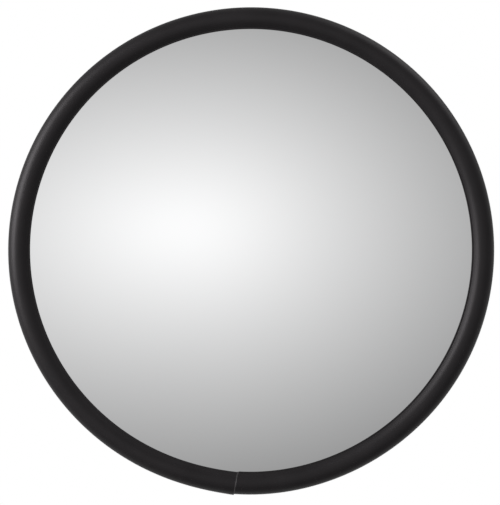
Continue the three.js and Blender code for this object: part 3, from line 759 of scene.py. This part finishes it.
def clamp_knob_head():
    """Six lobes, dished underneath, on a short boss."""
    low, high = span("clamp_knob_head")
    lobes = 6
    place = about_z(CLAMP)

    def lobed(r, d, a):
        share = min(1, max(0, (r - 5) / 6))
        return place(r * (1 + 0.115 * share * math.cos(lobes * a)), d, a)

    top = high.z - 4
    outside = rounded([(0, low.z + 1.2), (6, low.z + 1.0), (8.5, low.z), (13, low.z), (13, top),
                       (8.4, top), (7, high.z), (0, high.z)], 1.6, 5)
    screw_end = span("clamp_knob_screw")[0].z - 0.1
    profile = outside[:-1] + [(3.0, high.z), (3.0, screw_end), (0, screw_end)]
    make("clamp_knob_head", revolve(profile, lobed, segments=192))


# ---- Sliding half of the arm --------------------------------------------------------


def inner_tube():
    low, high = span("inner_tube")
    lip = 1
    outer = high.x - lip
    bore = outer - 1.5
    bush_low, bush_high = span("tail_bush")
    bead = arc((outer, bush_low.y - lip - 0.05), lip, -90, 90, 8)
    flare = [(outer, bush_high.y + 0.05), (outer + lip, high.y), (bore + lip, high.y)]
    profile = rounded([(bore, low.y), (outer, low.y)], 0.3) + bead + flare + [(bore, bush_high.y)]
    make("inner_tube", revolve(profile, about_y(), segments=128))


def stud_insert():
    low, high = span("stud_insert")
    flange = low.y + 1.55
    body = 6.3
    profile = [(5.0, low.y), (high.x, low.y), (high.x, flange), (body, flange), (body, high.y), (5.0, high.y)]
    make("stud_insert", revolve(rounded(profile, 0.25), about_y()))


# ---- Ball joint ---------------------------------------------------------------------


def ball_stud():
    low, high = span("ball_stud")
    radius = BALL.y - low.y
    neck = 4.75
    flange = (BALL.y + 17, BALL.y + 21)
    shank = 4.8
    neck_angle = math.degrees(math.acos(neck / radius))
    ball = [(r, BALL.y + d) for r, d in arc((0, 0), radius, -90, neck_angle, 40)]
    ball[0] = (0, ball[0][1])
    fillet = [(neck, ball[-1][1] + 0.8), (neck, flange[0] + 1)]
    profile = [*ball, *fillet, *rungs(shank, flange[1] - 1, high.y - 1, 0.15), (shank - 1, high.y), (0, high.y)]
    stud = revolve(profile, threaded(1.5, 0.7, flange[1] - 0.5, high.y - 0.3, about_y()), segments=128)
    flats = 17
    collar = revolve(hex_nut_profile(flats, 4, *flange), hexagonal(flats, about_y()))
    make("ball_stud", together(stud, collar))


def jam_nut():
    low, high = span("jam_nut")
    flats = high.x - low.x
    make("jam_nut", revolve(hex_nut_profile(flats, 5.0, low.y, high.y), hexagonal(flats, about_y())))


def jam_lock_washer():
    """Split, with its ends a little out of line."""
    low, high = span("jam_lock_washer")
    gap = math.radians(4)
    thick = high.y - low.y - 0.3
    place = about_y()

    def twisted(r, d, a):
        return place(r, d + 0.3 * (a - QUARTER) / TAU, a)

    profile = rounded([(5.1, low.y), (8.8, low.y), (8.8, low.y + thick), (5.1, low.y + thick)], 0.2)
    make("jam_lock_washer", revolve(profile, twisted, around(90, QUARTER + gap, QUARTER + TAU - gap)))


def socket_liner():
    inner = 13.35
    outer = 14.85
    outside = arc((0, BALL.y), outer, -15, 42, 16)
    inside = arc((0, BALL.y), inner, 42, -15, 16)
    make("socket_liner", revolve(outside + inside, about_y(), segments=128))


SOCKET_BOLT = 30
SOCKET_HOLE = 2.8


def plate_outlines(width, opening):
    holes = [circle(x, z, -SOCKET_HOLE) for x in (-SOCKET_BOLT, SOCKET_BOLT) for z in (-SOCKET_BOLT, SOCKET_BOLT)]
    return [rounded_rectangle(width, width, 12), circle(0, 0, -opening, 96), *holes]


def socket_plate():
    """Pressed from one sheet: the dome rises from the flat on a soft radius."""
    low, high = span("socket_plate")
    back = BALL.y - 6
    bore = 15.2
    outer = 17.2
    opening = 34
    flat = sheet(plate_outlines(high.x - low.x, 24), low.y, back, 0.5)
    sweep = 5
    centre = (outer + sweep, back + sweep)
    foot = arc(centre, sweep, 270, 180, 10)
    under = arc((bore + sweep + 2, low.y + sweep), sweep, 180, 262, 8)
    outside = [(outer, BALL.y)] + arc((0, BALL.y), outer, 1, opening, 12)
    inside = arc((0, BALL.y), bore, opening, 1, 12) + [(bore, BALL.y)]
    profile = [(24.05, back), *foot, *outside, *inside, *under, (24.05, low.y)]
    make("socket_plate", together(flat, revolve(profile, about_y(), segments=128)))


def backing_plate():
    low, high = span("backing_plate")
    back = high.y
    front = back - 2
    bore = 13.35
    rim = math.degrees(math.asin((BALL.y - back) / bore))
    flat = sheet(plate_outlines(high.x - low.x, 12), front, back, 0.5)
    inside = arc((0, BALL.y), bore, -90, -rim, 10)
    outside = arc((0, BALL.y), bore + 2, -rim - 6, -90, 10)
    inside[0] = (0, inside[0][1])
    outside[-1] = (0, outside[-1][1])
    profile = [*inside, (12.05, back), (12.05, front), *outside]
    make("backing_plate", together(flat, revolve(profile, about_y())))


def cross_recess(place_y, depth, reach, width):
    """A tapered cross, to be cut into a screw head."""
    arms = []
    for along in (0, 1):
        top = []
        for deep, scale in ((-1.0, 1.25), (depth, 0.45)):
            x, z = (reach * scale, width / 2) if along else (width / 2, reach * scale)
            top.append([(x, deep, z), (-x, deep, z), (-x, deep, -z), (x, deep, -z)])
        points = [Vector(p) for ring in top for p in ring]
        faces = [(0, 1, 2, 3), (4, 5, 6, 7)] + [(i, (i + 1) % 4, (i + 1) % 4 + 4, i + 4) for i in range(4)]
        arms.append(([Vector((p.x, place_y - p.y, p.z)) for p in points], faces))
    return arms


def socket_screws():
    for i in range(1, 5):
        node = f"socket_screw_{i}"
        low, high = span(node)
        centre = (low + high) / 2
        seat = BALL.y - 5.95
        place = about_y((centre.x, 0, centre.z))
        head = [(5.2 * math.cos(a), seat + 0.35 + 2.65 * math.sin(a)) for a in around(10, QUARTER, 0)]
        head[0] = (0, head[0][1])
        profile = [*head, (5.2, seat), (2.45, seat), *rungs(2.45, low.y + 8, low.y + 0.6, 0.1),
                   (1.9, low.y), (0, low.y)]
        screw = revolve(profile, threaded(0.8, 0.4, low.y + 0.2, low.y + 8, place), segments=64)
        turn = 0.4 + 1.1 * i
        cutters = []
        for points, faces in cross_recess(high.y, 2.0, 2.6, 1.0):
            spun = [Vector((centre.x + p.x * math.cos(turn) - p.z * math.sin(turn), p.y,
                            centre.z + p.x * math.sin(turn) + p.z * math.cos(turn))) for p in points]
            cutters.append((spun, faces))
        make(node, drilled(screw, *cutters))


def socket_nuts():
    for i in range(1, 5):
        node = f"socket_nut_{i}"
        low, high = span(node)
        centre = (low + high) / 2
        flats = high.x - low.x
        place = hexagonal(flats, about_y((centre.x, 0, centre.z)))
        make(node, revolve(hex_nut_profile(flats, 2.5, low.y, high.y), place))


# ---- Mirror -------------------------------------------------------------------------


def back_board():
    low, high = span("back_board")
    disc = rounded([(17, low.y), (high.x, low.y), (high.x, high.y), (17, high.y)], 0.5)
    holes = [rod(SOCKET_HOLE, low.y - 1, high.y + 1, about_y((x, 0, z)), 0.1, 32)
             for x in (-SOCKET_BOLT, SOCKET_BOLT) for z in (-SOCKET_BOLT, SOCKET_BOLT)]
    make("back_board", drilled(revolve(disc, about_y(), segments=256), *holes))


SEAM_HALF_GAP = 0.03 / EDGE_CENTRE
LENS_FOOT = EDGE_CENTRE - 8.3  # the dome runs on under the edging's lip to here
LIP = {"tip": 10.3, "root": 8.75, "thickness": 0.45}  # tip and root are from the edging's centre line
LIP_OFFSET = 0.4  # the lip's circle isn't quite true to the tube's
LIP_OFFSET_TURN = math.radians(210)


def mirror_lens():
    """A spherical cap on a flat flange; the bend between them is a sharp corner."""
    low, high = span("mirror_lens")
    flange_front = high.y - 3
    dome = LENS_FOOT
    rise = flange_front - low.y
    curve = (dome ** 2 + rise ** 2) / (2 * rise)
    middle = low.y + curve
    edge = math.degrees(math.asin(dome / curve))
    inner = curve - 3
    inner_edge = math.degrees(math.acos((middle - high.y) / inner))
    outside = arc((0, middle), curve, -90, edge - 90, 96)
    inside = arc((0, middle), inner, inner_edge - 90, -90, 48)
    outside[0] = (0, outside[0][1])
    inside[-1] = (0, inside[-1][1])
    flange = [(high.x, flange_front), (high.x, high.y)]
    make("mirror_lens", revolve([*outside, *flange, *inside], about_y(), segments=360), crease=20)


def edge_plane():
    low, high = span("edge_trim")
    return (low.y + high.y) / 2


def edge_trim():
    """One length of split vinyl tube round the rim. Its cut ends meet near the bottom, a little proud."""
    plane = edge_plane()
    flange = plane - (span("mirror_lens")[1].y - 3)
    rear_lip = span("back_board")[1].y - plane + 0.1
    slope = math.tan(math.radians(24.5))

    def on_lens(r):
        """How far in front of the tube's centre the lens is, at a distance inwards from it."""
        return flange + max(0, r - (EDGE_CENTRE - LENS_FOOT)) * slope

    def angle(radius, off):
        return 180 - math.degrees(math.asin(off / radius))

    root = math.sqrt(EDGE_RADIUS ** 2 - LIP["root"] ** 2)
    tip = on_lens(LIP["tip"]) + 0.05
    mouth = math.sqrt(EDGE_BORE ** 2 - (flange + 0.05) ** 2)
    outside = arc((0, 0), EDGE_RADIUS, -angle(EDGE_RADIUS, root), angle(EDGE_RADIUS, rear_lip), 44)
    inside = arc((0, 0), EDGE_BORE, angle(EDGE_BORE, rear_lip), -angle(EDGE_BORE, flange + 0.05), 30)
    lip = [(-mouth - 1.2, -flange - 0.05), (-LIP["tip"], -tip), (-LIP["tip"], -tip - LIP["thickness"])]
    profile = rounded([*outside, *inside, *lip], 0.4, 4)
    place = about_y()
    wall = (EDGE_RADIUS + EDGE_BORE) / 2

    def put(r, d, a):
        """a runs from 0 at one end of the length to TAU at the other."""
        left = math.degrees(a) / 7.5
        right = math.degrees(TAU - a) / 24
        inwards = max(0, -r / EDGE_RADIUS)
        proud = (2.2 * math.exp(-left) + 1.25 * math.exp(-right ** 2)) * (1 - 0.3 * inwards)
        from_end = min(a, TAU - a) * EDGE_CENTRE
        bevel = 0.3 * max(0, 1 - from_end / 0.45) ** 2
        out = math.hypot(r, d)
        trimmed = 1 + math.copysign(bevel * min(1, abs(out - wall) / 0.8), wall - out) / out
        near_end = math.exp(-from_end / 7.6)
        slant = (SEAM_SLANT * r - SEAM_HOOK * inwards ** 4) / EDGE_CENTRE * near_end
        gap = SEAM_HALF_GAP * (1 if a < math.pi else -1) * near_end
        turn = -SEAM - a - slant - gap
        shift = proud + LIP_OFFSET * inwards ** 2 * math.cos(turn - LIP_OFFSET_TURN)
        settled = on_lens(-r) - on_lens(-r - shift) if d < 0 else 0
        return place(EDGE_CENTRE + r * trimmed + shift, plane + d * trimmed + settled, turn)

    ends = [(0.05 * i + 0.012 * i ** 2.6) / EDGE_CENTRE for i in range(20)]
    middle = around(300, ends[-1], TAU - ends[-1])[1:-1]
    angles = ends + middle + [TAU - a for a in reversed(ends)]
    make("edge_trim", revolve(profile, put, angles))


wall_plate()
pivot_stud()
washer("pivot_friction_washer", about_y(), 1, 5.35)
washer("pivot_flat_washer", about_y(), 1, 5.35)
pivot_lock_nut()
swivel_clevis()
hinge_bolt()
washer("hinge_washer", about_x(HINGE), 0, 4.3)
wing_nut()
washer("knuckle_washer_left", about_x(HINGE), 0, 4.3)
washer("knuckle_washer_right", about_x(HINGE), 0, 4.3)
arm_knuckle()
outer_tube()
knuckle_pin()
guide_bush()
clamp_collar()
pressure_pad()
clamp_knob_screw()
clamp_knob_head()
inner_tube()
washer("tail_bush", about_y(), 1, 8.15)
stud_insert()
ball_stud()
jam_nut()
jam_lock_washer()
socket_liner()
socket_plate()
backing_plate()
socket_screws()
socket_nuts()
back_board()
mirror_lens()
edge_trim()

# ---- Studio -------------------------------------------------------------------------

# The studio is described by the slope of a surface, seen from the front, that reflects it.
GLOW_SLOPE = (-0.136, 0.045)  # where the bright panel's middle shows
GLOW_PEAK = 1.02
GLOW_FALL = 0.895  # drop in displayed brightness per unit of slope
GLOW_ROUND = 0.0706
GLOW_NARROW = {"left": 0.58, "right": 0.69}
STUDIO_DARKEST = 0.44


def studio():
    world = bpy.data.worlds.new("studio")
    bpy.context.scene.world = world
    world.use_nodes = True
    tree = world.node_tree
    background = tree.nodes["Background"]
    ray = add_node(tree, "ShaderNodeLightPath").outputs
    way = add_node(tree, "ShaderNodeTexCoord").outputs["Generated"]
    lifted = add_node(tree, "ShaderNodeVectorMath", {0: way, 1: (0, -1, 0)}, operation="ADD").outputs[0]
    half = add_node(tree, "ShaderNodeVectorMath", {0: lifted}, operation="NORMALIZE").outputs[0]
    slope = add_node(tree, "ShaderNodeSeparateXYZ", {0: half}).outputs
    across = maths(tree, "SUBTRACT", slope[0], GLOW_SLOPE[0])
    up = maths(tree, "SUBTRACT", slope[2], GLOW_SLOPE[1])
    right = maths(tree, "MULTIPLY", maths(tree, "MAXIMUM", across, 0.0), GLOW_NARROW["right"])
    left = maths(tree, "MULTIPLY", maths(tree, "MINIMUM", across, 0.0), GLOW_NARROW["left"])
    wide = maths(tree, "ADD", right, left)
    squares = maths(tree, "ADD", maths(tree, "MULTIPLY", wide, wide), maths(tree, "MULTIPLY", up, up))
    far = maths(tree, "SQRT", maths(tree, "ADD", squares, GLOW_ROUND ** 2))
    fall = maths(tree, "MULTIPLY", maths(tree, "SUBTRACT", far, GLOW_ROUND), GLOW_FALL)
    shown = maths(tree, "MAXIMUM", maths(tree, "SUBTRACT", GLOW_PEAK, fall), STUDIO_DARKEST)
    encoded = maths(tree, "DIVIDE", maths(tree, "ADD", shown, 0.055), 1.055)
    panel = maths(tree, "POWER", encoded, 2.4)

    def softbox(direction, wide_open, edge, strength):
        aim = Vector(direction).normalized()
        towards = add_node(tree, "ShaderNodeVectorMath", {0: way, 1: aim}, operation="DOT_PRODUCT").outputs["Value"]
        return between(tree, towards, 0, strength, math.cos(math.radians(edge)), math.cos(math.radians(wide_open)))

    parts = add_node(tree, "ShaderNodeSeparateXYZ", {0: way}).outputs
    behind = between(tree, parts[1], 0, 1, -0.5, 0.1)
    backdrop = between(tree, parts[2], 0.85, 0.5, 0.0, 1.0)
    room = maths(tree, "ADD", maths(tree, "MULTIPLY", panel, maths(tree, "SUBTRACT", 1.0, behind)),
                 maths(tree, "MULTIPLY", backdrop, behind))
    glossy = room
    soft = maths(tree, "MULTIPLY", maths(tree, "SUBTRACT", 1.0, ray["Is Glossy Ray"]), 0.95)
    lit = maths(tree, "ADD", maths(tree, "MULTIPLY", glossy, ray["Is Glossy Ray"]), soft)
    seen = ray["Is Camera Ray"]
    strength = maths(tree, "ADD", maths(tree, "MULTIPLY", lit, maths(tree, "SUBTRACT", 1.0, seen)), seen)
    tree.links.new(strength, background.inputs["Strength"])
    background.inputs["Color"].default_value = (1, 1, 1, 1)


def softlight(name, place, size, energy, only=None, past=None):
    data = bpy.data.lights.new(name, "AREA")
    data.shape = "DISK"
    data.size = size
    data.energy = energy
    lamp = bpy.data.objects.new(name, data)
    bpy.context.scene.collection.objects.link(lamp)
    lamp.location = place
    lamp.rotation_euler = (BALL * MM - Vector(place)).to_track_quat("-Z", "Y").to_euler()
    lamp.visible_glossy = bool(only)
    if only:
        lit = bpy.data.collections.new(name)
        lit.objects.link(bpy.data.objects[only])
        lamp.light_linking.receiver_collection = lit
        blocking = bpy.data.collections.new(name + "_blockers")
        blocking.objects.link(bpy.data.objects[past])
        lamp.light_linking.blocker_collection = blocking


def floor():
    """A pale round floor that fades out, well below the mirror's lowest reach."""
    middle = Vector(((cad_box[0].x + cad_box[1].x) / 2, (cad_box[0].y + cad_box[1].y) / 2, -0.52)) / MM
    piece = new_object("floor", revolve([(0, -2), (900, -2), (900, 0), (0, 0)], about_z(middle), segments=96))
    surface = Surface("pale_floor")
    tree = surface.tree
    surface.colour(surface.noise(3, 3), (0.86, 0.86, 0.855), (0.90, 0.90, 0.895))
    surface.roughness(surface.noise(8, 3), 0.7, 0.85)
    offset = add_node(tree, "ShaderNodeVectorMath", {0: surface.where, 1: middle * MM}, operation="SUBTRACT")
    far = add_node(tree, "ShaderNodeVectorMath", {0: offset.outputs[0]}, operation="LENGTH").outputs["Value"]
    surface.set("Alpha", between(tree, far, 1, 0, 0.35, 0.88))
    piece.data.materials.append(surface.material)
    piece.visible_glossy = False


def camera():
    """Level with the mirror's centre and square to it, far enough off to flatten the view."""
    distance = 3.0
    frame_half = 0.2286 * 500 / (2 * 243.05)
    rim = span("edge_trim")
    rim_plane = (rim[0].y + rim[1].y) / 2 * MM
    data = bpy.data.cameras.new("camera")
    data.sensor_width = 36
    data.sensor_fit = "HORIZONTAL"
    data.lens = data.sensor_width / 2 * (distance + rim_plane) / frame_half
    data.clip_end = 50
    eye = bpy.data.objects.new("camera", data)
    bpy.context.scene.collection.objects.link(eye)
    eye.location = (-0.0011, -distance, -0.0021)
    eye.rotation_euler = (QUARTER, 0, 0)
    bpy.context.scene.camera = eye


studio()
softlight("key_light", (-1.6, -2.2, 1.6), 1.4, 28)
softlight("back_light", (1.4, 1.6, 1.5), 1.2, 16)
floor()
softlight("edging_light", (-1.85, -1.12, 0.52), 1.6, 70, only="edge_trim_fine", past="floor")
softlight("edging_fill", (1.28, -0.2, 1.53), 1.6, 14, only="edge_trim_fine", past="floor")
camera()
bpy.context.scene.view_settings.view_transform = "Standard"
